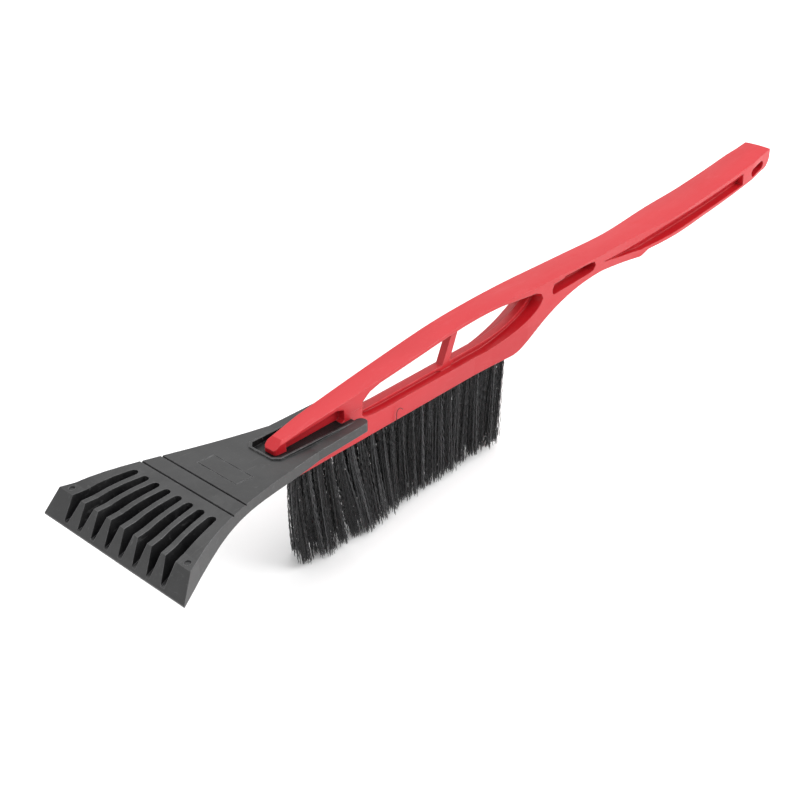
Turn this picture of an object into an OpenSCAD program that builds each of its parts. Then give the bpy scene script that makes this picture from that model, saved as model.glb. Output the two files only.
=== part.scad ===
// Windshield ice scraper with a snow brush on the underside of its handle.
//
// Frame: X runs from the blade's edge to the tip of the handle, Y across, Z up.
// The part stands on its bristle tips, and the origin is the middle of the
// underside of its bounding box.
//
// The modules below work in drawing coordinates, whose zero is the middle of
// the blade's bottom edge: in_place() moves them into the part's own frame.

/* [Overall] */
// Length from the blade's edge to the tip of the handle
overall_len = 535; // [520:1:560]
// Height of the blade's edge above the bristle tips
blade_edge_z = 63; // [50:1:75]

/* [Blade] */
// Width of the blade's edge
blade_w = 100; // [96:1:110]
// Height of the bevel's ridge above the blade's edge
ridge_z = 12.8; // [12:0.1:13.2]
// Run of the bevel from the edge back to the ridge
bevel_run = 7.7; // [6.5:0.1:9]
// Thickness of the blade's edge
edge_t = 0.8; // [0.5:0.1:1.2]
// Number of ice-breaking slots
slot_count = 8; // [4:2:8]
// Distance between neighbouring slots at the edge
slot_pitch = 9.9; // [9:0.1:10.2]
// Distance between neighbouring slots at their rear ends
slot_rear_pitch = 7.76; // [7.4:0.01:8.2]
// Width of a slot's floor
slot_floor_w = 2.3; // [1.5:0.1:2.8]

/* [Head] */
// Half of the width of the head's rear arms
arm_half_w = 16.6; // [15.5:0.1:18]
// Half of the width of the window round the handle's nose
window_half_w = 10; // [9.2:0.1:10.5]
// Distance of the window's front edge from the blade's edge
window_x = 89.5; // [86:0.5:91]
// Height of the raised rim above the plate at the window's front
rim_h = 1.3; // [0.6:0.1:2]

/* [Handle] */
// Half of the width of the handle's waist, over the brush
waist_half_w = 7.5; // [7.2:0.1:8.2]
// Half of the width of the handle's neck, behind the brush
neck_half_w = 9.2; // [8.4:0.1:9.8]
// Half of the width of the nose that lies in the head
nose_half_w = 4.2; // [3.8:0.1:5]
// Half of the widest part of the grip
grip_half_w = 11.4; // [10.4:0.1:12]
// Half of the width of the handle's tip
tip_half_w = 9.3; // [8.4:0.1:10]
// Thickness of the top flange over the two openings
flange_t = 2.2; // [1.6:0.1:3]
// Half of the thickness of the web between the flange and the brush base
web_half_t = 1.5; // [1.2:0.1:2]
// Half of the thickness of the rim round the openings, and of the strut
rim_half_t = 2.3; // [2.1:0.1:3]
// Radius of the holes at the ends of the hanging slot
hang_r = 3; // [2:0.1:3.2]

/* [Brush] */
// Number of tufts in each of the two rows
tufts_per_row = 22; // [12:1:22]
// Distance between neighbouring tufts in a row
tuft_pitch = 7.55; // [7:0.05:7.6]
// Distance of each row from the middle of the handle
row_y = 3.4; // [3.3:0.05:3.6]
// Radius of a tuft hole
hole_r = 2; // [1.6:0.1:2]
// Depth of a tuft hole
hole_depth = 9.5; // [7:0.5:9.5]
// Radius of a tuft's spread tip
tuft_tip_r = 3.3; // [2.4:0.1:3.3]
// Lean of the tufts towards the blade
tuft_rake = 5; // [0:1:7]

/* [Hidden] */
function two_digits(n) = n < 10 ? str("0", n) : str(n);
function tuft_name(row, i) = str("bristle_tuft_", row == 0 ? "left_" : "right_", two_digits(i + 1));

eps = 0.01;
sky = 60;          // well above everything
wide = 30;         // well outside the handle on each side
curve_steps = 10;  // straight pieces in each curve of an outline
$fn = 48;

// Colours
handle_red = [0.86, 0.16, 0.18];
head_black = [0.22, 0.22, 0.23];
bristle_black = [0.09, 0.09, 0.10];
anchor_steel = [0.72, 0.72, 0.74];

// ---------- curves ----------

function cubic(p, t) =
    pow(1 - t, 3) * p[0] + 3 * t * pow(1 - t, 2) * p[1] + 3 * t * t * (1 - t) * p[2] + pow(t, 3) * p[3];
function cubic_path(p) = [for (i = [0 : curve_steps]) cubic(p, i / curve_steps)];
// Points of an arc whose centre is above it (dir = 1) or below it (dir = -1),
// from slope a0 to slope a1
function slope_arc(c, r, a0, a1, dir) =
    [for (i = [0 : curve_steps]) let (a = a0 + (a1 - a0) * i / curve_steps) c + dir * r * [sin(a), -cos(a)]];
function mirrored(path) = [for (i = [len(path) - 1 : -1 : 0]) [path[i].x, -path[i].y]];

// ---------- the handle's top line ----------
// A straight rise from the nose, a long convex arch, a straight fall over the
// waist, and a long concave sweep up to the tip.

front_slope = 6.4;
arch_start = [205, 27.2];
arch_r = 400;
waist_slope = 1.7;
sweep_x = 329;
sweep_r = 1210;

arch_c = arch_start + arch_r * [sin(front_slope), -cos(front_slope)];
arch_end = arch_c + arch_r * [sin(waist_slope), cos(waist_slope)];
waist_len = (sweep_x - arch_end.x) / cos(waist_slope);
sweep_start = arch_end + waist_len * [cos(waist_slope), -sin(waist_slope)];
sweep_c = sweep_start + sweep_r * [sin(waist_slope), cos(waist_slope)];
nose_x = 93.8;
front_len = (arch_start.x - nose_x) / cos(front_slope);

function sweep_angle(x) = asin((x - sweep_c.x) / sweep_r);
function top_z(x) =
    x < arch_start.x ? arch_start.y + (x - arch_start.x) * tan(front_slope)
    : x < arch_end.x ? arch_c.y + sqrt(arch_r * arch_r - pow(x - arch_c.x, 2))
    : x < sweep_start.x ? arch_end.y - (x - arch_end.x) * tan(waist_slope)
    : sweep_c.y - sqrt(sweep_r * sweep_r - pow(x - sweep_c.x, 2));

// ---------- the handle's underside ----------

base_z = -7.3;
base_x = 102;
heel_x = 267;
heel_r = 20;
heel_slope = 28.5;
heel_len = 14;
neck_r = 118;
stop_slope = 6.6;
stop_r = 80;
stop_x = 388.5;
grip_under_start = [396.5, 14.2];
grip_under_slope = 0.8;
grip_under_r = 850;
tip_r = 7.5;

heel_c = [heel_x, base_z + heel_r];
heel_end = heel_c + heel_r * [sin(heel_slope), -cos(heel_slope)] + heel_len * [cos(heel_slope), sin(heel_slope)];
neck_c = heel_end + neck_r * [sin(heel_slope), -cos(heel_slope)];
stop_c = [neck_c.x, neck_c.y + neck_r - stop_r];
stop_start = stop_c + stop_r * [sin(stop_slope), cos(stop_slope)];
stop_tip = [stop_x, stop_start.y - (stop_x - stop_start.x) * tan(stop_slope)];
stop_flat = 1.5;
grip_under_c = grip_under_start + grip_under_r * [-sin(grip_under_slope), cos(grip_under_slope)];
tip_start_x = (overall_len - tip_r - tip_r * grip_under_c.x / grip_under_r) / (1 - tip_r / grip_under_r);
tip_angle = asin((tip_start_x - grip_under_c.x) / grip_under_r);
tip_start = grip_under_c + grip_under_r * [sin(tip_angle), -cos(tip_angle)];
tip_c = tip_start + tip_r * [-sin(tip_angle), cos(tip_angle)];

// The nose's sloping front, and the gap between the nose and the brush base
nose_face_z = 11.2;
nose_face_slope = 36;
nose_face_run = 13;
gap_z0 = 5.4;
gap_z1 = 8.8;
gap_end_x = 137;

under_line = concat(
    [[nose_x, nose_face_z], [nose_x, gap_z1], [base_x, gap_z1], [base_x, base_z]],
    slope_arc(heel_c, heel_r, 0, heel_slope, 1),
    slope_arc(neck_c, neck_r, heel_slope, 0, -1),
    slope_arc(stop_c, stop_r, 0, -stop_slope, -1),
    [stop_tip, stop_tip + [stop_flat, 0.1]],
    slope_arc(grip_under_c, grip_under_r, grip_under_slope, tip_angle, 1),
    slope_arc(tip_c, tip_r, tip_angle, 90, 1),
    [[overall_len, sky], [nose_x + nose_face_run, sky],
     [nose_x + nose_face_run, nose_face_z + nose_face_run * tan(nose_face_slope)]]
);

// ---------- the handle's plan ----------

// Where the width turns, and half of the width there
waist_x0 = 209;
width_knots = [
    [waist_x0, waist_half_w], [235, waist_half_w], [290, neck_half_w], [335, neck_half_w],
    [368, neck_half_w - 0.8], [426, grip_half_w], [460, grip_half_w - 0.7], [overall_len - 24, grip_half_w - 0.7],
    [overall_len - 7, tip_half_w + 0.3], [overall_len, tip_half_w]
];
// Between two knots the edge swings over gently from one width to the next
function swing(x, p, q) = let (t = (x - p.x) / (q.x - p.x)) p.y + (q.y - p.y) * t * t * (3 - 2 * t);
function half_w(x) =
    x < waist_x0 ? waist_half_w - (waist_half_w - nose_half_w) * pow((waist_x0 - x) / (waist_x0 - nose_x), 2)
    : [for (i = [1 : len(width_knots) - 1]) if (x <= width_knots[i].x || i == len(width_knots) - 1)
        swing(x, width_knots[i - 1], width_knots[i])][0];

function plan_steps(x0, x1) = [for (i = [0 : curve_steps]) x0 + (x1 - x0) * i / curve_steps];
nose_corner_r = 2.5;
plan_edge = concat(
    [for (a = [0 : 30 : 90])
        [nose_x + nose_corner_r * (1 - cos(a)), nose_half_w - nose_corner_r * (1 - sin(a))]],
    [for (x = concat(plan_steps(nose_x + 2 * nose_corner_r, waist_x0), plan_steps(235, 290),
                     plan_steps(335, 368), plan_steps(368.5, 426), plan_steps(426.5, 460),
                     plan_steps(overall_len - 24, overall_len - 7), [overall_len]))
        [x, half_w(x)]]
);

// The brush base is narrower than the flange above it, and widens into the heel
base_half_w = 6.4;
base_top_z = 12;
base_trim_edge = [[136, base_half_w], [238, base_half_w], [252, base_half_w + 0.6], [292, 9.9]];

// ---------- openings and recesses of the handle, drawn from the side ----------

front_void_x = 152.5;
rim_z = 6.4;
ledge_z = 3.5;
rear_rim_z = 7.3;
strut_foot_x = 216;
strut_run = 0.45;    // X for each unit of height
strut_w = 5.6;
rear_void_x = 293.3;
rim_w = 1.3;

function strut_x(z) = strut_foot_x + (z - rim_z) * strut_run;
function under_flange(x0, x1, lift = 0) =
    [for (i = [0 : curve_steps]) let (x = x0 + (x1 - x0) * i / curve_steps) [x, top_z(x) - flange_t + lift]];

// Side recess: the space between the top flange, the brush base and the heel
recess_outline = concat(
    [[front_void_x - 1.5, 14.5], [front_void_x - 1.5, 6.6], [front_void_x + 0.5, 4.9], [front_void_x + 6, 4],
     [front_void_x + 17, ledge_z]],
    cubic_path([[248, ledge_z], [270, 5.4], [291, 12.2], [rear_void_x, 19.6]]),
    [[291.8, 22.8], [287, 24.8], [273, 26.2]],
    under_flange(258, 164),
    [[156.5, 18.4]]
);
// The openings that go right through
lip = -0.5;    // what is left of the web under the flange
front_opening = concat(
    [[front_void_x, 14.6], [front_void_x, 8.2], [front_void_x + 2.6, rim_z], [strut_x(rim_z), rim_z]],
    under_flange(225, 166, lip),
    [[158, 18]]
);
rear_opening = concat(
    [[strut_x(rear_rim_z) + strut_w, rear_rim_z]],
    cubic_path([[247, rear_rim_z], [266, rear_rim_z], [280, 12], [290.5, 20.5]]),
    [[287.5, 23.4], [273, 25.4]],
    under_flange(256, 230, lip)
);
// The web's thicker rim: all of the recess above this line, with the strut and its spreading foot
rim_foot = [
    [strut_x(rim_z) - 5, rim_z - rim_w], [strut_x(rim_z) - 1, rim_z - rim_w - 1.6],
    [strut_x(rim_z) + strut_w + 1, rim_z - rim_w - 1.6], [strut_x(rim_z) + strut_w + 4, rear_rim_z - rim_w]
];
rim_outline = concat(
    [[front_void_x - 3, 30], [front_void_x - 3, rim_z - rim_w]],
    rim_foot,
    cubic_path([[247, rear_rim_z - rim_w], [266.4, rear_rim_z - rim_w], [281, 11.1], [291.6, 20]]),
    [[289.5, 23], [289.5, 30]]
);
// Half of what is left between the blind pockets of the two sides
pocket_half_t = 2;
// Blind pocket in each side of the neck
neck_pocket = [
    [301.6, 21.5], [301.9, 19], [303.6, 18], [334, 19], [340.5, 19.6], [342.8, 22.3], [341.4, 25],
    [337.5, 25.6], [313, 26], [312.4, 25.1], [303.4, 24.7]
];
// Recess in each side of the nose, under its flange
nose_pocket = concat(
    [[138.6, 15.4], [138.6, 9.6], [136, gap_z1 - 1], [101, gap_z1 - 1]],
    under_flange(101, 134)
);
// Where the grip's channel may cut: its lower edge climbs towards the neck
channel_x0 = 350.5;
channel_x1 = 500.5;
channel_mask = [
    [channel_x0, 22.6], [channel_x0 + 1.5, 21], [368.6, 18.3], [388, 16.2], [388, 0], [channel_x1 + 8, 0],
    [channel_x1 + 8, sky], [channel_x0, sky]
];

// ---------- the head's outlines ----------

lip_end = [14, 13.2];
plate_top_curve = [lip_end, [34, 18.4], [62, 13.4], [110, 9.9]];
plate_under_front = [[10, 1.9], [26, 5.4], [34, 9.5], [52, 9.4]];
plate_under_rear = [[52, 9.4], [66, 9.3], [86, 5.1], [108, 4.9]];
arm_end_x = 143;
arm_top_z = 9.8;
arm_under_z = 4.9;
plate_top = concat([[0, edge_t], [bevel_run, ridge_z]], cubic_path(plate_top_curve));
plate_under = concat([[0, 0]], cubic_path(plate_under_front), cubic_path(plate_under_rear));
behind_x = 160;
plate_side = concat(plate_top, [[behind_x, arm_top_z], [behind_x, arm_under_z]],
                    [for (i = [len(plate_under) - 1 : -1 : 0]) plate_under[i]]);

flare_end = [15, 42.9];
head_edge = concat(
    [[0, blade_w / 2]],
    cubic_path([flare_end, [42, 31.5], [72, 24], [110, arm_half_w + 1]]),
    [[arm_end_x, arm_half_w]]
);
window_chamfer = 3;
arm_r = (arm_half_w - window_half_w) / 2;

slot_start = [0.3, 1.9];
slot_rear = [36.5, 10.7];
slot_wall = 0.235;      // how much a slot widens on each side for each unit of height
slot_cut_h = 15;
slot_slope = atan((slot_rear.y - slot_start.y) / (slot_rear.x - slot_start.x));

score_t = [0.415, 0.523]; // places of the two scored lines along the plate's top curve
score_depth = 1;
score_half_w = 0.9;
panel_x = [61.5, 72];
panel_half_w = 13.8;
panel_line_w = 0.5;
panel_depth = 0.25;
dimple = [10.6, 41, 1.6, 0.3]; // X, Y, radius and depth of the round marks behind the ridge

fit_gap = 0.15;         // clearance between the head and the handle
tongue_end_x = gap_end_x - 0.5;
cheek_t = 2.2;
cheek_x = [100, 140];
cheek_z = -1.2;
barb_x = [118, 124];
barb_half_w = 3.5;
barb_depth = 1.1;

// ---------- placing helpers ----------

module in_place() { translate([-overall_len / 2, 0, blade_edge_z]) children(); }
// Side outline (X, Z) made solid from y0 to y1
module across(y0, y1) { translate([0, y1, 0]) rotate([90, 0, 0]) linear_extrude(y1 - y0) children(); }
// The same on both sides, outwards from half-thickness y0
module both_sides(y0) {
    across(y0, wide) children();
    across(-wide, -y0) children();
}
// Cross-section (across, up from the top line) carried along each stretch of the top line
module along_front() {
    translate([nose_x, 0, top_z(nose_x)]) rotate([0, -front_slope, 0]) rotate([90, 0, 90])
        linear_extrude(front_len + eps) children();
}
module along_waist() {
    translate([arch_end.x, 0, arch_end.y]) rotate([0, waist_slope, 0]) rotate([90, 0, 90])
        linear_extrude(waist_len) children();
}
module along_arch() {
    translate([arch_c.x, 0, arch_c.y]) rotate([90, 0, 0]) rotate([0, 0, 90 - waist_slope])
        rotate_extrude(angle = front_slope + waist_slope, $fn = 720) translate([arch_r, 0]) rotate(-90) children();
}
module along_sweep(x0, x1) {
    a0 = sweep_angle(x0);
    a1 = sweep_angle(x1);
    translate([sweep_c.x, 0, sweep_c.y]) rotate([90, 0, 0]) rotate([0, 0, a0 - 90])
        rotate_extrude(angle = a1 - a0, $fn = 720) translate([sweep_r, 0]) rotate(90) children();
}

// ---------- handle ----------

bar_half_w = 13;
bar_crown_r = 100;
bar_depth = 50;

// Cross-section of the handle before it is trimmed: a bar with a crowned top
module bar_section() {
    intersection() {
        translate([0, -bar_crown_r]) circle(bar_crown_r, $fn = 360);
        translate([-bar_half_w, -bar_depth]) square([2 * bar_half_w, bar_depth]);
    }
}

module handle_blank() {
    intersection() {
        union() {
            along_front() bar_section();
            along_arch() bar_section();
            along_waist() bar_section();
            along_sweep(sweep_x, overall_len + 5) bar_section();
        }
        across(-wide, wide) polygon(under_line);
        translate([0, 0, -sky]) linear_extrude(2 * sky) polygon(concat(plan_edge, mirrored(plan_edge)));
    }
}

module base_trim() {
    translate([0, 0, -sky]) linear_extrude(sky + base_top_z) for (side = [-1, 1])
        polygon([for (p = concat(base_trim_edge, [[292, wide], [136, wide]])) [p.x, side * p.y]]);
}

// Slanting cut along each top corner of the nose, deepest at the front
nose_top_half_w = 2.4;
nose_cut_turn = 6.6;
module nose_corners() {
    for (side = [-1, 1])
        translate([nose_x - 1, side * nose_top_half_w, top_z(nose_x - 1)])
            rotate([0, -front_slope, side * nose_cut_turn]) rotate([90, 0, 90])
                linear_extrude(wide) polygon([[0, 0], [side * 10, -10], [side * 10, 10], [0, 10]]);
}

// The straight-sided foot of the brush base, seen below the head's arms
base_foot_h = 4;
base_foot_half_w = 6.3;
base_foot_end_x = 230;
module base_foot() {
    translate([base_x, -base_foot_half_w, base_z])
        cube([base_foot_end_x - base_x, 2 * base_foot_half_w, base_foot_h]);
}

// Channel in each side of the grip: its upper wall slopes in to the web
channel_web = 5.3;
channel_floor = -11.2;
channel_rise = 1.3;     // slope of the upper wall
module channel_section() {
    for (side = [-1, 1])
        polygon([[side * wide, channel_floor + 1.3 + (wide - channel_web) * channel_rise],
                 [side * channel_web, channel_floor + 1.3], [side * channel_web, channel_floor],
                 [side * wide, channel_floor]]);
}
module grip_channels() {
    intersection() {
        along_sweep(channel_x0, channel_x1) channel_section();
        across(-wide, wide) polygon(channel_mask);
    }
}

// Hanging slot across the tip
hang_front = [overall_len - 20.7, 28.5];
hang_rear = [overall_len - 10.9, 30.3];
module hang_slot() {
    run = hang_rear - hang_front;
    across(-wide, wide) {
        translate(hang_front) circle(hang_r);
        translate(hang_rear) circle(hang_r);
        translate(hang_front) rotate(atan2(run.y, run.x)) translate([0, -hang_r]) square([norm(run), 2 * hang_r]);
    }
}

module handle() {
    color(handle_red) in_place() difference() {
        union() {
            handle_blank();
            base_foot();
        }
        both_sides(rim_half_t) polygon(recess_outline);
        both_sides(web_half_t) difference() {
            polygon(recess_outline);
            polygon(rim_outline);
        }
        across(-wide, wide) polygon(front_opening);
        across(-wide, wide) polygon(rear_opening);
        both_sides(pocket_half_t) polygon(neck_pocket);
        both_sides(pocket_half_t) polygon(nose_pocket);
        nose_corners();
        base_trim();
        across(-wide, wide) translate([nose_x - 1, gap_z0]) square([gap_end_x - nose_x + 1, gap_z1 - gap_z0]);
        translate([barb_x[0], -barb_half_w - fit_gap, gap_z0 - barb_depth - fit_gap])
            cube([barb_x[1] - barb_x[0], 2 * (barb_half_w + fit_gap), barb_depth + 1]);
        grip_channels();
        hang_slot();
        for (row = [0, 1]) for (i = [0 : tufts_per_row - 1]) at_tuft(row, i)
            translate([0, 0, -eps]) cylinder(r = hole_r, h = hole_depth);
    }
}

// ---------- scraper head ----------

module window_plan(grow) {
    edge = window_half_w + grow;
    front = window_x - grow;
    polygon([[front + window_chamfer, -edge], [behind_x, -edge], [behind_x, edge],
             [front + window_chamfer, edge], [front, edge - window_chamfer], [front, window_chamfer - edge]]);
}

module head_plan() {
    polygon(concat(head_edge, mirrored(head_edge)));
    for (side = [-1, 1]) translate([arm_end_x, side * (arm_half_w - arm_r)]) circle(arm_r);
}

module handle_plan(gap) {
    polygon([for (p = concat(plan_edge, mirrored(plan_edge))) [p.x, p.y + sign(p.y) * gap]]);
}

// One slot: narrow floor, leaning walls and a round rear end
module ice_slot(i) {
    k = i - (slot_count - 1) / 2;
    from = [slot_start.x, k * slot_pitch, slot_start.y];
    to = [slot_rear.x, k * slot_rear_pitch, slot_rear.y];
    turn = atan2(to.y - from.y, to.x - from.x);
    run = norm([to.x - from.x, to.y - from.y]);
    slope = atan((to.z - from.z) / run);
    top_w = slot_floor_w + 2 * slot_wall * slot_cut_h;
    translate(from) rotate([0, 0, turn]) rotate([0, -slope, 0]) {
        translate([-8, 0, 0]) rotate([90, 0, 90]) linear_extrude(8 + run / cos(slope))
            polygon([[-slot_floor_w / 2, 0], [slot_floor_w / 2, 0], [top_w / 2, slot_cut_h], [-top_w / 2, slot_cut_h]]);
        translate([run / cos(slope), 0, 0]) cylinder(r1 = slot_floor_w / 2, r2 = top_w / 2, h = slot_cut_h);
    }
}

// Scored line across the plate at place t on its top curve
module score_line(t) {
    p = cubic(plate_top_curve, t);
    across(-blade_w, blade_w)
        polygon([[p.x - score_half_w, p.y + 0.4], [p.x, p.y - score_depth], [p.x + score_half_w, p.y + 0.4]]);
}

// A blank panel, outlined by a fine engraved line that follows the curved top
module panel_line() {
    top = cubic_path(plate_top_curve);
    intersection() {
        translate([0, 0, -sky]) linear_extrude(2 * sky) difference() {
            translate([panel_x[0], -panel_half_w]) square([panel_x[1] - panel_x[0], 2 * panel_half_w]);
            translate([panel_x[0] + panel_line_w, -panel_half_w + panel_line_w])
                square([panel_x[1] - panel_x[0] - 2 * panel_line_w, 2 * (panel_half_w - panel_line_w)]);
        }
        across(-wide, wide) polygon(concat(
            [for (p = top) [p.x, p.y - panel_depth]],
            [for (i = [len(top) - 1 : -1 : 0]) [top[i].x, top[i].y + 1]]));
    }
}

module window_rim() {
    front = window_x - 1.1;
    intersection() {
        translate([0, 0, arm_under_z + 1]) linear_extrude(sky) difference() {
            window_plan(1.1);
            window_plan(0);
        }
        across(-wide, wide) polygon([
            [front - 1, arm_under_z + 1], [front - 1, 11 + rim_h], [118, arm_top_z + rim_h],
            [arm_end_x - 1, arm_top_z], [arm_end_x - 1, arm_under_z + 1]
        ]);
    }
}

// Floor of the window: its middle is the tongue that lies in the handle's gap
module tongue_floor() {
    translate([0, 0, gap_z0 + fit_gap]) linear_extrude(gap_z1 - gap_z0 - 2 * fit_gap) difference() {
        intersection() {
            window_plan(1);
            translate([0, -wide]) square([arm_end_x, 2 * wide]);
        }
        intersection() {
            handle_plan(fit_gap);
            translate([tongue_end_x, -wide]) square([wide, 2 * wide]);
        }
    }
}

// Cheeks on each side of the brush base, under the plate
module cheeks() {
    translate([0, 0, cheek_z]) linear_extrude(gap_z0 + fit_gap + 1 - cheek_z) intersection() {
        difference() {
            handle_plan(fit_gap + cheek_t);
            handle_plan(fit_gap);
        }
        translate([cheek_x[0], -wide]) square([cheek_x[1] - cheek_x[0], 2 * wide]);
    }
}

// Snap under the tongue: it rides over the brush base and drops into its notch
module snap_barb() {
    z0 = gap_z0 + fit_gap;
    across(-barb_half_w, barb_half_w)
        polygon([[barb_x[0] + fit_gap, z0 + eps], [barb_x[1] - fit_gap, z0 + eps],
                 [barb_x[1] - 2.5, z0 - barb_depth], [barb_x[0] + fit_gap, z0 - barb_depth]]);
}

module scraper_head() {
    color(head_black) in_place() difference() {
        union() {
            intersection() {
                translate([0, 0, -sky]) linear_extrude(2 * sky) head_plan();
                difference() {
                    across(-blade_w, blade_w) polygon(plate_side);
                    translate([0, 0, -sky]) linear_extrude(2 * sky) window_plan(0);
                }
            }
            window_rim();
            tongue_floor();
            cheeks();
            snap_barb();
        }
        for (i = [0 : slot_count - 1]) ice_slot(i);
        for (t = score_t) score_line(t);
        panel_line();
        for (side = [-1, 1]) translate([dimple[0], side * dimple[1], ridge_z - dimple[3]])
            cylinder(r = dimple[2], h = 5);
    }
}

// ---------- brush ----------

first_tuft_x = base_x + 4;
root_gap = 0.1;
anchor_size = [0.5, 3.4, 2];
anchor_z = hole_depth - 2.4;

// The foot of each tuft, on the underside of the brush base: one row is half a pitch behind
module at_tuft(row, i) {
    translate([first_tuft_x + (i + row / 2) * tuft_pitch, (2 * row - 1) * row_y, base_z])
        rotate([0, tuft_rake, 0]) children();
}

module anchor_blade(gap) {
    translate([-anchor_size.x / 2 - gap, -anchor_size.y / 2 - gap, anchor_z - gap])
        cube([anchor_size.x + 2 * gap, anchor_size.y + 2 * gap, anchor_size.z + 2 * gap]);
}

module bristle_tuft(row, i) {
    root_r = hole_r - root_gap;
    free_len = (blade_edge_z + base_z) / cos(tuft_rake) + 2;
    color(bristle_black) in_place() difference() {
        intersection() {
            at_tuft(row, i) union() {
                cylinder(r = root_r, h = hole_depth - root_gap);
                translate([0, 0, -free_len]) cylinder(r1 = tuft_tip_r, r2 = root_r, h = free_len);
            }
            translate([0, -wide, -blade_edge_z]) cube([overall_len, 2 * wide, sky + blade_edge_z]);
        }
        at_tuft(row, i) anchor_blade(0.05);
    }
}

module tuft_anchors() {
    color(anchor_steel) in_place()
        for (row = [0, 1]) for (i = [0 : tufts_per_row - 1]) at_tuft(row, i) anchor_blade(0);
}

handle();
scraper_head();
tuft_anchors();
for (row = [0, 1]) for (i = [0 : tufts_per_row - 1])
    bristle_tuft(row, i);
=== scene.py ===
import math

import bpy
import numpy as np
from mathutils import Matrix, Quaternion, Vector


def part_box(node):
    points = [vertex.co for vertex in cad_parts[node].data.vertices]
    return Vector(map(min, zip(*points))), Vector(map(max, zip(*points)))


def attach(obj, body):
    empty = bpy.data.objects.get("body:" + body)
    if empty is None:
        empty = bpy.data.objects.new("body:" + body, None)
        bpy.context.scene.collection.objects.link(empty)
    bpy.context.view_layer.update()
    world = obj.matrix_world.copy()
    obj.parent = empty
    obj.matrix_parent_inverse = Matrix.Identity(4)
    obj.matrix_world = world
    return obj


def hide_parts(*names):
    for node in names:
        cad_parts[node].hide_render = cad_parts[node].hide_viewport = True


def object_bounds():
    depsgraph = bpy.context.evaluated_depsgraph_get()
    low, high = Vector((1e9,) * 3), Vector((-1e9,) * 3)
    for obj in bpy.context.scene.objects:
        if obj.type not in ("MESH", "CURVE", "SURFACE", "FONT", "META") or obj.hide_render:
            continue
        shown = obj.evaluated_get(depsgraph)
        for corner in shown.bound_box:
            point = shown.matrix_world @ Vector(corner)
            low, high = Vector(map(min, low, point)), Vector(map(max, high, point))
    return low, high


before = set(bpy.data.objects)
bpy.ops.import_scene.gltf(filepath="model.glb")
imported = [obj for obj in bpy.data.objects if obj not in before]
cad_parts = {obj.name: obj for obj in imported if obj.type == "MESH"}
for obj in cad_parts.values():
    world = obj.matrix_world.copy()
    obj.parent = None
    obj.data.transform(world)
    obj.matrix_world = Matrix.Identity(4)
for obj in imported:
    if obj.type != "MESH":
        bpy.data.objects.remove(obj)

MM = 0.001
cad_low, cad_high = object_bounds()
centre = (cad_low + cad_high) / 2
rng = np.random.default_rng(20)


# ---------- camera ----------

CAMERA_AZIMUTH = -46.72       # in degrees, like the next two
CAMERA_ELEVATION = 31.07
CAMERA_ROLL = -0.70
CAMERA_DISTANCE = 0.779
CAMERA_AIM = Vector((-46, 34, -20)) * MM  # from the middle of the part
SENSOR_WIDTH = 36             # in millimetres, like the lens
LENS = 62.2
NEAREST = 0.05
FARTHEST = 20


def look_from(azimuth, elevation):
    """Unit vector from the part towards a camera at that azimuth and elevation, in degrees."""
    a, e = math.radians(azimuth), math.radians(elevation)
    return Vector((math.sin(a) * math.cos(e), -math.cos(a) * math.cos(e), math.sin(e)))


def add_camera():
    """The photograph's view: from the blade's side, above and in front."""
    towards = look_from(CAMERA_AZIMUTH, CAMERA_ELEVATION)
    data = bpy.data.cameras.new("camera")
    data.sensor_width = SENSOR_WIDTH
    data.lens = LENS
    data.clip_start = NEAREST
    data.clip_end = FARTHEST
    camera = bpy.data.objects.new("camera", data)
    bpy.context.scene.collection.objects.link(camera)
    level = (-towards).to_track_quat("-Z", "Y")
    camera.rotation_mode = "QUATERNION"
    camera.rotation_quaternion = level @ Quaternion((0, 0, 1), math.radians(CAMERA_ROLL))
    camera.location = centre + CAMERA_AIM + towards * CAMERA_DISTANCE
    bpy.context.scene.camera = camera


# ---------- materials ----------

SHADER_SAMPLES = 6            # of the nodes that look at the surface nearby
EDGE_FULL = 0.80              # cosine between the rounded and the flat normal on a whole edge
EDGE_NONE = 0.995             # and where there is no edge


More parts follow.
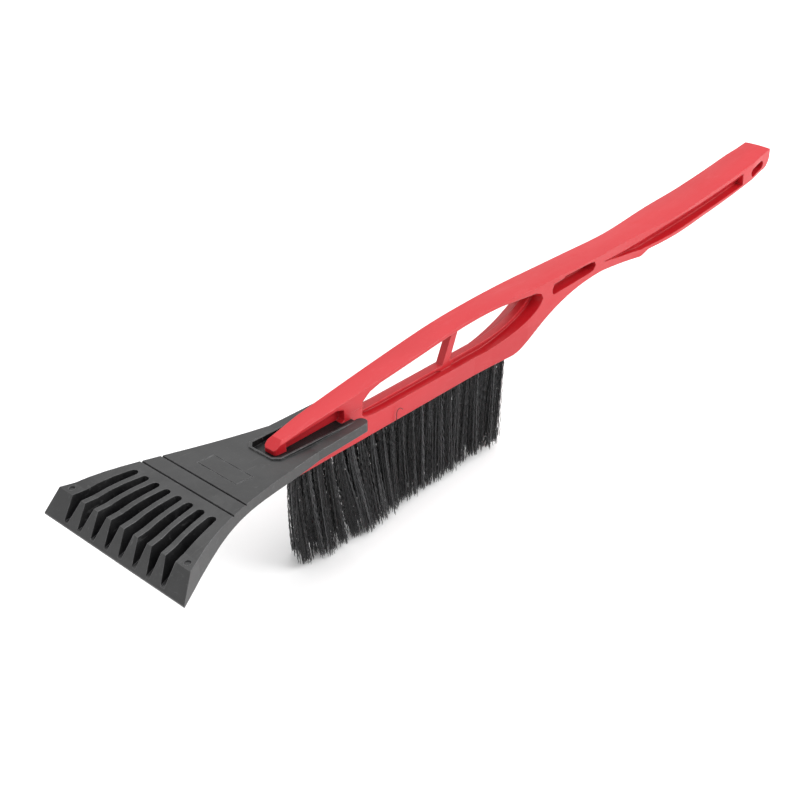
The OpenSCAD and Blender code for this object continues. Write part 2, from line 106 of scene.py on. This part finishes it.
class Nodes:
    """A new material with short ways to add nodes and join them."""

    def __init__(self, name):
        self.material = bpy.data.materials.new(name)
        self.material.use_nodes = True
        self.tree = self.material.node_tree
        self.shader = self.tree.nodes["Principled BSDF"]

    def add(self, kind, inputs=None, **settings):
        node = self.tree.nodes.new("ShaderNode" + kind)
        for key, value in settings.items():
            setattr(node, key, value)
        for key, value in (inputs or {}).items():
            self.put(value, node.inputs[key])
        return node

    def put(self, value, socket):
        """A number or colour is set on the socket, and another node's output is joined to it."""
        if isinstance(value, bpy.types.NodeSocket):
            self.tree.links.new(value, socket)
        else:
            socket.default_value = value

    def finished(self, inputs):
        """The material, once each of these inputs of its shader is set or joined."""
        for key, value in inputs.items():
            self.put(value, self.shader.inputs[key])
        return self.material

    def place(self, scale):
        """Object coordinates in metres, stretched by scale."""
        where = self.add("TexCoord").outputs["Object"]
        return self.add("Mapping", {"Vector": where, "Scale": scale}).outputs["Vector"]

    def noise(self, scale, detail, roughness, stretch=(1, 1, 1), distortion=0.0):
        inputs = {"Vector": self.place(stretch), "Scale": scale, "Detail": detail,
                  "Roughness": roughness, "Distortion": distortion}
        return self.add("TexNoise", inputs).outputs["Fac"]

    def spread(self, value, low, high, to_low=0.0, to_high=1.0):
        """value between low and high becomes a number between to_low and to_high."""
        inputs = {"Value": value, "From Min": low, "From Max": high, "To Min": to_low, "To Max": to_high}
        return self.add("MapRange", inputs, clamp=True).outputs["Result"]

    def math(self, operation, a, b):
        return self.add("Math", {0: a, 1: b}, operation=operation).outputs[0]

    def mix(self, share, a, b):
        """Colour a, with that share of it taken by colour b."""
        share_socket, a_socket, b_socket, colour_output = 0, 6, 7, 2
        inputs = {share_socket: share, a_socket: a, b_socket: b}
        return self.add("Mix", inputs, data_type="RGBA").outputs[colour_output]

    def bump(self, height, strength, distance, under=None):
        inputs = {"Height": height, "Strength": strength, "Distance": distance}
        if under is not None:
            inputs["Normal"] = under
        return self.add("Bump", inputs).outputs["Normal"]

    def soft_edges(self, radius):
        """The surface normal, rounded over sharp edges, and how much of an edge there is from 0 to 1."""
        rounded = self.add("Bevel", {"Radius": radius}, samples=SHADER_SAMPLES).outputs["Normal"]
        flat = self.add("NewGeometry").outputs["Normal"]
        facing = self.add("VectorMath", {0: rounded, 1: flat}, operation="DOT_PRODUCT").outputs["Value"]
        return rounded, self.spread(facing, EDGE_FULL, EDGE_NONE, to_low=1.0, to_high=0.0)

    def openness(self, reach):
        """How open the surface is to what is around it within reach, from 0 deep in a slot to 1."""
        return self.add("AmbientOcclusion", {"Distance": reach}, samples=SHADER_SAMPLES).outputs["AO"]


def red_plastic():
    """Moulded red polypropylene: satin skin, pale rubbed edges, faint flow marks and a few scuffs."""
    deep, bright = (0.40, 0.007, 0.012, 1), (0.48, 0.012, 0.019, 1)
    dusty, scuffed, rubbed = (0.55, 0.17, 0.17, 1), (0.58, 0.14, 0.15, 1), (0.72, 0.20, 0.20, 1)
    m = Nodes("red_moulded_plastic")
    rounded, edge = m.soft_edges(0.7 * MM)
    flow = m.noise(14, detail=3, roughness=0.5, stretch=(0.35, 1.6, 1.6), distortion=0.4)
    colour = m.mix(m.spread(flow, 0.35, 0.68), deep, bright)
    dust = m.noise(900, detail=2, roughness=0.6)
    colour = m.mix(m.spread(dust, 0.62, 0.80, to_high=0.10), colour, dusty)
    scuffs = m.noise(55, detail=6, roughness=0.72, stretch=(0.5, 2.2, 2.2), distortion=1.2)
    colour = m.mix(m.spread(scuffs, 0.56, 0.78, to_high=0.16), colour, scuffed)
    patches = m.noise(160, detail=5, roughness=0.7)
    pale_edge_share = m.math("MULTIPLY", edge, m.spread(patches, 0.38, 0.66, to_low=0.05, to_high=0.42))
    colour = m.mix(pale_edge_share, colour, rubbed)
    gloss = m.noise(70, detail=5, roughness=0.6, stretch=(0.6, 1.8, 1.8))
    roughness = m.spread(gloss, 0.3, 0.7, to_low=0.30, to_high=0.44)
    skin = m.bump(m.noise(2600, detail=3, roughness=0.6), 0.10, 0.05 * MM, rounded)
    waves = m.bump(m.noise(60, detail=2, roughness=0.5), 0.16, 0.8 * MM, skin)
    return m.finished({"Base Color": colour, "Roughness": roughness, "Normal": waves,
                       "Specular IOR Level": 0.42, "Subsurface Weight": 0.06,
                       "Subsurface Radius": (1.0, 0.25, 0.2), "Subsurface Scale": 1.2 * MM})


def black_plastic():
    """Moulded black plastic: satin, clouded by handling, with fine scratches and paler edges that are
    partly wear and partly a painted highlight.
    Inside the slots it reflects less: painted shade, set by how little light reaches there."""
    dark, clouded = (0.006, 0.006, 0.0065, 1), (0.017, 0.017, 0.0175, 1)
    dusty, scratched, rubbed = (0.09, 0.09, 0.09, 1), (0.19, 0.19, 0.19, 1), (0.22, 0.22, 0.225, 1)
    m = Nodes("black_moulded_plastic")
    rounded, edge = m.soft_edges(0.5 * MM)
    cloud = m.spread(m.noise(38, detail=6, roughness=0.68, distortion=1.4), 0.40, 0.72)
    colour = m.mix(cloud, dark, clouded)
    dust = m.noise(1400, detail=2, roughness=0.6)
    colour = m.mix(m.spread(dust, 0.60, 0.82, to_high=0.25), colour, dusty)
    along = m.noise(240, detail=5, roughness=0.75, stretch=(0.25, 3.0, 1), distortion=0.3)
    along = m.spread(along, 0.60, 0.74, to_high=0.30)
    across = m.noise(300, detail=4, roughness=0.7, stretch=(2.6, 0.5, 1), distortion=0.8)
    across = m.spread(across, 0.62, 0.76, to_high=0.22)
    colour = m.mix(m.math("MAXIMUM", along, across), colour, scratched)
    # Pale edges in patches: partly wear and partly a painted highlight along the head's edges.
    patches = m.noise(220, detail=5, roughness=0.7)
    pale_edge_share = m.math("MULTIPLY", edge, m.spread(patches, 0.36, 0.66, to_low=0.08, to_high=0.75))
    colour = m.mix(pale_edge_share, colour, rubbed)
    roughness = m.spread(cloud, 0.0, 1.0, to_low=0.33, to_high=0.47)
    skin = m.bump(m.noise(2400, detail=3, roughness=0.65), 0.16, 0.05 * MM, rounded)
    waves = m.bump(m.noise(110, detail=3, roughness=0.5), 0.14, 0.4 * MM, skin)
    # Painted shade: ambient occlusion turns the reflection down deep in the slots.
    shine_with_painted_slot_shade = m.spread(m.openness(14 * MM), 0.35, 0.85, to_low=0.08, to_high=0.62)
    return m.finished({"Base Color": colour, "Roughness": roughness, "Normal": waves,
                       "Specular IOR Level": shine_with_painted_slot_shade})


def filament_plastic():
    """Black filaments: each a little lighter or darker than the next, the lighter ones duller, with
    pale painted glints dotted over them."""
    darkest, lightest = (0.003, 0.003, 0.0035, 1), (0.080, 0.080, 0.084, 1)
    pale = (0.12, 0.12, 0.12, 1)
    m = Nodes("black_filament")
    shade = m.add("Attribute", attribute_name="shade").outputs["Fac"]
    # Painted highlight: pale dots mixed into the colour stand in for glints on the filaments.
    painted_glint_dots = m.noise(1500, detail=2, roughness=0.5)
    colour = m.mix(m.spread(painted_glint_dots, 0.64, 0.76, to_high=0.35), m.mix(shade, darkest, lightest), pale)
    roughness = m.spread(shade, 0.0, 1.0, to_low=0.30, to_high=0.48)
    skin = m.bump(m.noise(3000, detail=2, roughness=0.5), 0.15, 0.02 * MM)
    return m.finished({"Base Color": colour, "Roughness": roughness, "Normal": skin})


def wire_steel():
    """Plain drawn wire: fine lines along it and a little tarnish."""
    bright, dull = (0.62, 0.62, 0.64, 1), (0.38, 0.35, 0.32, 1)
    m = Nodes("anchor_wire")
    tarnish = m.spread(m.noise(600, detail=5, roughness=0.6), 0.35, 0.7)
    roughness = m.spread(tarnish, 0.0, 1.0, to_low=0.25, to_high=0.5)
    lines = m.bump(m.noise(3000, detail=3, roughness=0.5, stretch=(1, 0.05, 1)), 0.2, 0.02 * MM)
    return m.finished({"Base Color": m.mix(tarnish, bright, dull), "Roughness": roughness,
                       "Normal": lines, "Metallic": 1.0})


def floor_material():
    m = Nodes("pale_floor")
    roughness = m.spread(m.noise(3, detail=2, roughness=0.5), 0.3, 0.7, to_low=0.55, to_high=0.62)
    return m.finished({"Roughness": roughness, "Base Color": (0.93, 0.93, 0.93, 1),
                       "Specular IOR Level": 0.2})


# ---------- brush ----------

TUFT_NODES = sorted(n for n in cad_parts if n.startswith("bristle_tuft_"))
ROW_TUFTS = len(TUFT_NODES) // 2
STRAIGHT_TUFTS = 4            # pairs of tufts at the blade's end that hang together

# One filament
FILAMENT_R = 0.20 * MM
CUT_TIP = 0.55                # radius of its tip, as a share of its own
SIDES = 3
RING_STEP = 1.25 * MM         # distance between its rings
SINK = 2.0 * MM               # how far it is drawn inside its hole
CRIMP = 0.20 * MM             # waviness
CRIMP_RANGE = (0.5, 1.3)      # the least and the most of it that a filament has
CRIMP_PITCH = 5.0 * MM
PITCH_RANGE = (0.85, 1.2)
OFF_AXIS = (0.31, 0.92, 0.24)  # a direction that no filament runs in
MOSTLY_DARK = 2.6             # the higher, the fewer filaments are light

# One tuft: lengths across it are measured from its middle
FILAMENTS = 60
LOCKS = 6                     # its filaments cling together in this many locks
CLING = 0.45                  # how closely
FAN = 1.25                    # makes up for the width that clinging takes away
ROOT_R = 1.85 * MM            # where it leaves its hole
SPREAD_X = 4.5 * MM           # at its tips, along the row
SPREAD_Y = 3.9 * MM           # and across the row
OUTWARD = 0.9 * MM            # lean of the tips away from the other row
LOWEST_TIP = 0.2 * MM         # no tip ends lower than this
REAR_TRIM = 1.6 * MM          # the tufts grow shorter towards the rear, by this much in all
BROKEN_SHARE = 0.08           # of the filaments are broken off short
BROKEN_BY = (1.5, 7)          # by between so many millimetres

# A filament's curve is drawn towards two points, placed as shares of the way to its tip
UPPER_PLACE = (0.36, 0.36, 0.28)
LOWER_PLACE = (0.80, 0.80, 0.66)
UPPER_LAG = 0.22              # and set ahead by this share of how far the tip is pushed back
LOWER_LAG = 0.15

# Unevenness, as the standard deviation of each length
TUFT_PUSH_OFF = 0.6 * MM
TUFT_TRIM_OFF = 0.6 * MM
LOCK_TRIM_OFF = 1.0 * MM
TIP_TRIM_OFF = 1.1 * MM
TIP_PLACE_OFF = 0.55 * MM
BEND_OFF = 0.45 * MM

# What use has done to the brush
FRONT_SET = 8.2 * MM          # how far the first tips are pushed back
REAR_SET = -2.6 * MM          # and the last ones
SPLAY_SET = 5.4 * MM          # how much further the first pair behind the straight ones is
SPLAY_PAIRS = 3.0             # over how many pairs this fades
BULGE = 5.0 * MM              # how far the left row's tips bulge outwards at most
RIGHT_BULGE = 0.4             # share of it that the right row follows
BULGE_ORDER = 5               # the pair that bulges most
BULGE_PAIRS = 4.5             # over how many pairs on each side this fades
STRAY_RINGS = 40
# Filaments that have worked loose, by the order of their tuft in the left row: bends listed in
# millimetres from the tuft's root. The first hangs ahead of the brush, and the second is curled up.
STRAY_BENDS = {
    0: ((0, -1.5, 2), (-1.5, -2.5, -10), (-3.5, -3.5, -24), (-7.5, -4.5, -36)),
    9: ((0, -1.5, 2), (0, -3.0, -1.6), (0.3, -4.4, -0.6), (0.6, -4.3, 3.0), (1.2, -4.2, 6.2),
        (3.0, -4.6, 7.4), (4.6, -5.2, 6.0)),
}


def rings_round(path):
    """The corners of a filament's rings along its path, narrowed at the cut tip."""
    along = np.gradient(path, axis=0)
    along /= np.linalg.norm(along, axis=1, keepdims=True)
    side = np.cross(along, OFF_AXIS)
    side /= np.linalg.norm(side, axis=1, keepdims=True)
    other = np.cross(along, side)
    size = np.full(len(path), FILAMENT_R)
    size[-1] *= CUT_TIP
    turn = (np.arange(SIDES) * 2 * np.pi / SIDES)[None, :, None]
    ring = side[:, None] * np.cos(turn) + other[:, None] * np.sin(turn)
    return (path[:, None] + ring * size[:, None, None]).reshape(-1, 3)


def tube_mesh(name, paths, shades):
    """One mesh of closed thin tubes, each along its own path and with its own shade."""
    verts, quads, low_caps, high_caps, tones = [], [], [], [], []
    start = 0
    corner = np.arange(SIDES)[None]
    for path, shade in zip(paths, shades, strict=True):
        end = start + len(path) * SIDES
        verts.append(rings_round(path))
        row = start + np.arange(len(path) - 1)[:, None] * SIDES
        first, second = row + corner, row + (corner + 1) % SIDES
        quads.append(np.stack([first, second, second + SIDES, first + SIDES], -1).reshape(-1, 4))
        low_caps.append(list(range(start, start + SIDES))[::-1])
        high_caps.append(list(range(end - SIDES, end)))
        tones.append(np.full(end - start, shade))
        start = end
    mesh = bpy.data.meshes.new(name)
    faces = np.concatenate(quads).tolist() + low_caps + high_caps
    mesh.from_pydata(np.concatenate(verts).tolist(), [], faces)
    mesh.shade_smooth()
    layer = mesh.attributes.new("shade", "FLOAT", "POINT")
    layer.data.foreach_set("value", np.concatenate(tones).astype(np.float32))
    mesh.update()
    piece = bpy.data.objects.new(name, mesh)
    bpy.context.scene.collection.objects.link(piece)
    return piece


def crimped(points, rings, amount):
    """A cubic curve from the first of four points to the last, with a filament's fine waves on it."""
    a, b, c, d = (np.asarray(p) for p in points)
    t = np.linspace(0, 1, rings)[:, None]
    path = (1 - t) ** 3 * a + 3 * t * (1 - t) ** 2 * b + 3 * t**2 * (1 - t) * c + t**3 * d
    length = np.linalg.norm(d - a)
    phase = rng.uniform(0, 2 * np.pi, 2)
    wave = 2 * np.pi * t[:, 0] * length / (CRIMP_PITCH * rng.uniform(*PITCH_RANGE))
    path[:, 0] += amount * np.sin(wave + phase[0])
    path[:, 1] += amount * np.sin(wave + phase[1])
    return path


def curl(points, rings):
    """A smooth path through all the points of a bent filament."""
    p = np.array([points[0], *points, points[-1]])
    parts = []
    for i in range(1, len(p) - 2):
        t = np.linspace(0, 1, rings // (len(points) - 1), endpoint=False)[:, None]
        parts.append(0.5 * (2 * p[i] + (p[i + 1] - p[i - 1]) * t
                            + (2 * p[i - 1] - 5 * p[i] + 4 * p[i + 1] - p[i + 2]) * t**2
                            + (3 * p[i] - p[i - 1] - 3 * p[i + 1] + p[i + 2]) * t**3))
    return np.concatenate([*parts, p[-1:]])


def strays(order, side, root):
    """The filaments of this tuft that have worked loose. Only the left row has any."""
    if side > 0 or order not in STRAY_BENDS:
        return []
    return [curl([root + np.array(bend) * MM for bend in STRAY_BENDS[order]], STRAY_RINGS)]


def in_disc(n):
    """n random points in a disc of radius 1."""
    r, a = np.sqrt(rng.uniform(0, 1, n)), rng.uniform(0, 2 * np.pi, n)
    return np.stack([r * np.cos(a), r * np.sin(a)], 1)


def fade(order, peak, pairs):
    """1 at the peak and 1/e that many pairs of tufts away from it, falling smoothly towards 0."""
    return math.exp(-(((order - peak) / pairs) ** 2))


def clump_shift(order):
    """How far the tips of the order-th pair of tufts are pushed back, away from the blade.
    The first few hang together, and the next are splayed away from them by use."""
    share = order / (ROW_TUFTS - 1)
    shift = FRONT_SET + (REAR_SET - FRONT_SET) * share
    if order >= STRAIGHT_TUFTS:
        shift += SPLAY_SET * fade(order, STRAIGHT_TUFTS, SPLAY_PAIRS)
    return shift


def bulge(order, side):
    """How far the tips lean to the left side, most where the brush is splayed."""
    most = BULGE if side < 0 else RIGHT_BULGE * BULGE
    return -most * fade(order, BULGE_ORDER, BULGE_PAIRS)


def tuft(node, order, side):
    """The filaments of one tuft, from inside its hole to its ragged tips."""
    low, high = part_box(node)
    base_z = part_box("handle")[0].z
    spread = (high.y - low.y) / 2
    rake = (high.x - ROOT_R - low.x - spread) / (high.z - low.z)
    middle = (low.y + high.y) / 2
    tip_x = low.x + spread
    root_x = tip_x + rake * base_z
    shift = clump_shift(order) + rng.normal(0, TUFT_PUSH_OFF)
    trim = abs(rng.normal(0, TUFT_TRIM_OFF)) + REAR_TRIM * order / ROW_TUFTS
    locks = in_disc(LOCKS)
    lock_trim = np.abs(rng.normal(0, LOCK_TRIM_OFF, LOCKS))
    tips_y = middle + side * OUTWARD + bulge(order, side)
    paths = []
    for i, place in enumerate(in_disc(FILAMENTS)):
        lock = i % LOCKS
        start = np.array([root_x + rake * SINK + place[0] * ROOT_R,
                          middle + place[1] * ROOT_R,
                          base_z + SINK])
        at_tip = place * (1 - CLING) + locks[lock] * CLING
        loose = rng.normal(0, TIP_PLACE_OFF, 2)
        tip_z = trim + lock_trim[lock] + abs(rng.normal(0, TIP_TRIM_OFF)) + LOWEST_TIP
        if rng.uniform() < BROKEN_SHARE:
            tip_z += rng.uniform(*BROKEN_BY) * MM
        end = np.array([tip_x + shift + at_tip[0] * SPREAD_X * FAN + loose[0],
                        tips_y + at_tip[1] * SPREAD_Y * FAN + loose[1],
                        tip_z])
        across = end - start
        off = rng.normal(0, BEND_OFF, 4)
        upper = start + across * UPPER_PLACE + (off[0] - UPPER_LAG * shift, off[1], 0)
        lower = start + across * LOWER_PLACE + (off[2] - LOWER_LAG * shift, off[3], 0)
        rings = int((base_z - tip_z) / RING_STEP)
        paths.append(crimped((start, upper, lower, end), rings, CRIMP * rng.uniform(*CRIMP_RANGE)))
    paths += strays(order, side, np.array([root_x, middle, base_z]))
    shades = rng.uniform(0, 1, len(paths)) ** MOSTLY_DARK
    return tube_mesh(node.replace("bristle_tuft", "filaments"), paths, shades)


def add_brush(material):
    for node in TUFT_NODES:
        order = int(node[-2:]) - 1
        side = -1 if "_left_" in node else 1
        piece = tuft(node, order, side)
        piece.data.materials.append(material)
        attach(piece, "root")
        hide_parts(node)


# ---------- floor and light ----------

FLOOR_SIZE = 6.0
FLOOR_DROP = 0.2 * MM         # keeps the floor just clear of the part
SURROUND = 0.95               # strength of the white surroundings


def add_floor():
    bpy.ops.mesh.primitive_plane_add(size=FLOOR_SIZE, location=(0, 0, -FLOOR_DROP))
    floor = bpy.context.object
    floor.name = "floor"
    floor.data.materials.append(floor_material())


def add_softbox(name, azimuth, elevation, distance, size, power):
    """A round lamp that faces the middle of the part."""
    data = bpy.data.lights.new(name, "AREA")
    data.shape = "DISK"
    data.size = size
    data.energy = power
    light = bpy.data.objects.new(name, data)
    bpy.context.scene.collection.objects.link(light)
    towards = look_from(azimuth, elevation)
    light.location = centre + towards * distance
    light.rotation_mode = "QUATERNION"
    light.rotation_quaternion = towards.to_track_quat("Z", "Y")


def add_light():
    world = bpy.data.worlds.new("studio")
    world.use_nodes = True
    background = world.node_tree.nodes["Background"]
    background.inputs["Color"].default_value = (1.0, 1.0, 1.0, 1)
    background.inputs["Strength"].default_value = SURROUND
    bpy.context.scene.world = world
    add_softbox("key", azimuth=35, elevation=38, distance=1.5, size=1.1, power=16)
    add_softbox("fill", azimuth=-80, elevation=45, distance=1.8, size=1.4, power=7)
    add_softbox("top", azimuth=140, elevation=70, distance=1.6, size=1.2, power=9)
    bpy.context.scene.view_settings.view_transform = "Standard"


# ---------- everything together ----------

def dress(node, material):
    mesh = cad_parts[node].data
    mesh.materials.clear()
    mesh.materials.append(material)


add_camera()
dress("handle", red_plastic())
dress("scraper_head", black_plastic())
dress("tuft_anchors", wire_steel())
add_brush(filament_plastic())
add_floor()
add_light()
